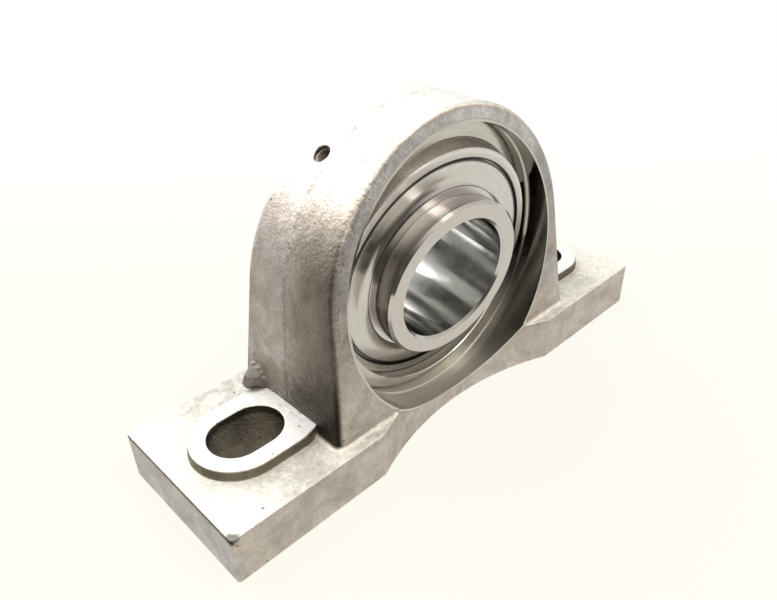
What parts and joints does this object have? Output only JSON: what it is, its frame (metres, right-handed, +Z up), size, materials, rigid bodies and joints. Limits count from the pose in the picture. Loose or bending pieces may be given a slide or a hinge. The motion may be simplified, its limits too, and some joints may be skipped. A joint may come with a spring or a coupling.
{
  "type": "pillow block bearing",
  "caption": "Self-aligning pillow block bearing: cast arch on a slotted base, with a sealed wide-inner-ring insert that swivels in a spherical seat and carries a round shaft.",
  "frame": {"origin": "centre of the base's underside, on the foundation", "axes": "+X along the base, +Z up, the near side with the plain end of the inner ring faces -Y"},
  "size_m": [0.184, 0.0605, 0.0988],
  "materials": {
    "cast_stainless": "as cast and blasted, machined inside",
    "ground_steel": "ground and honed",
    "stamped_steel": "stamped, satin",
    "cage_steel": "pressed sheet",
    "ball_steel": "polished",
    "screw_steel": "machined",
    "seal_rubber": "moulded, matt"
  },
  "bodies": {
    "housing": {"housing": "cast_stainless"},
    "insert": {"outer_ring": "ground_steel", "seal_core_near": "cage_steel", "seal_core_far": "cage_steel", "seal_lip_near": "seal_rubber", "seal_lip_far": "seal_rubber"},
    "shaft_ring": {"inner_ring": "ground_steel", "slinger_near": "stamped_steel", "slinger_far": "stamped_steel"},
    "cage": {"cage_near": "cage_steel", "cage_far": "cage_steel", "cage_rivets": "cage_steel"},
    "ball_1": {"ball_1": "ball_steel"},
    "ball_2": {"ball_2": "ball_steel"},
    "ball_3": {"ball_3": "ball_steel"},
    "ball_4": {"ball_4": "ball_steel"},
    "ball_5": {"ball_5": "ball_steel"},
    "ball_6": {"ball_6": "ball_steel"},
    "ball_7": {"ball_7": "ball_steel"},
    "ball_8": {"ball_8": "ball_steel"},
    "ball_9": {"ball_9": "ball_steel"},
    "screw_1": {"set_screw_1": "screw_steel"},
    "screw_2": {"set_screw_2": "screw_steel"}
  },
  "joints": [
    {"name": "insert_swivel", "type": "hinge", "parent": "housing", "child": "insert", "pos_m": [0, 0, 0.0492], "axis": [1, 0, 0], "range_deg": [-97.2, 82.8]},
    {"name": "shaft_spin", "type": "hinge", "parent": "insert", "child": "shaft_ring", "pos_m": [0, 0, 0.0492], "axis": [-0.0692, -0.9897, -0.1253], "continuous": true},
    {"name": "cage_spin", "type": "hinge", "parent": "insert", "child": "cage", "pos_m": [0, 0, 0.0492], "axis": [-0.0692, -0.9897, -0.1253], "continuous": true},
    {"name": "ball_1_spin", "type": "hinge", "parent": "cage", "child": "ball_1", "pos_m": [-0.00026, -0.00375, 0.07896], "axis": [-0.0692, -0.9897, -0.1253], "continuous": true},
    {"name": "ball_2_spin", "type": "hinge", "parent": "cage", "child": "ball_2", "pos_m": [0.01904, -0.00422, 0.072], "axis": [-0.0692, -0.9897, -0.1253], "continuous": true},
    {"name": "ball_3_spin", "type": "hinge", "parent": "cage", "child": "ball_3", "pos_m": [0.02943, -0.00271, 0.05437], "axis": [-0.0692, -0.9897, -0.1253], "continuous": true},
    {"name": "ball_4_spin", "type": "hinge", "parent": "cage", "child": "ball_4", "pos_m": [0.02605, 0.00006, 0.03432], "axis": [-0.0692, -0.9897, -0.1253], "continuous": true},
    {"name": "ball_5_spin", "type": "hinge", "parent": "cage", "child": "ball_5", "pos_m": [0.01048, 0.00281, 0.02123], "axis": [-0.0692, -0.9897, -0.1253], "continuous": true},
    {"name": "ball_6_spin", "type": "hinge", "parent": "cage", "child": "ball_6", "pos_m": [-0.00999, 0.00424, 0.02123], "axis": [-0.0692, -0.9897, -0.1253], "continuous": true},
    {"name": "ball_7_spin", "type": "hinge", "parent": "cage", "child": "ball_7", "pos_m": [-0.02579, 0.00369, 0.03432], "axis": [-0.0692, -0.9897, -0.1253], "continuous": true},
    {"name": "ball_8_spin", "type": "hinge", "parent": "cage", "child": "ball_8", "pos_m": [-0.02952, 0.00141, 0.05437], "axis": [-0.0692, -0.9897, -0.1253], "continuous": true},
    {"name": "ball_9_spin", "type": "hinge", "parent": "cage", "child": "ball_9", "pos_m": [-0.01944, -0.00153, 0.072], "axis": [-0.0692, -0.9897, -0.1253], "continuous": true},
    {"name": "screw_1_travel", "type": "slide", "parent": "shaft_ring", "child": "screw_1", "axis": [0.4912, -0.1432, 0.8592], "range_m": [-0.0003, 0.003]},
    {"name": "screw_2_travel", "type": "slide", "parent": "shaft_ring", "child": "screw_2", "axis": [0.5064, 0.0734, -0.8592], "range_m": [-0.0003, 0.003]}
  ],
  "couplings": [
    {"joint": "cage_spin", "follows": "shaft_spin", "ratio": 0.40083},
    {"joint": "ball_1_spin", "follows": "shaft_spin", "ratio": -2.4219},
    {"joint": "ball_2_spin", "follows": "shaft_spin", "ratio": -2.4219},
    {"joint": "ball_3_spin", "follows": "shaft_spin", "ratio": -2.4219},
    {"joint": "ball_4_spin", "follows": "shaft_spin", "ratio": -2.4219},
    {"joint": "ball_5_spin", "follows": "shaft_spin", "ratio": -2.4219},
    {"joint": "ball_6_spin", "follows": "shaft_spin", "ratio": -2.4219},
    {"joint": "ball_7_spin", "follows": "shaft_spin", "ratio": -2.4219},
    {"joint": "ball_8_spin", "follows": "shaft_spin", "ratio": -2.4219},
    {"joint": "ball_9_spin", "follows": "shaft_spin", "ratio": -2.4219}
  ]
}
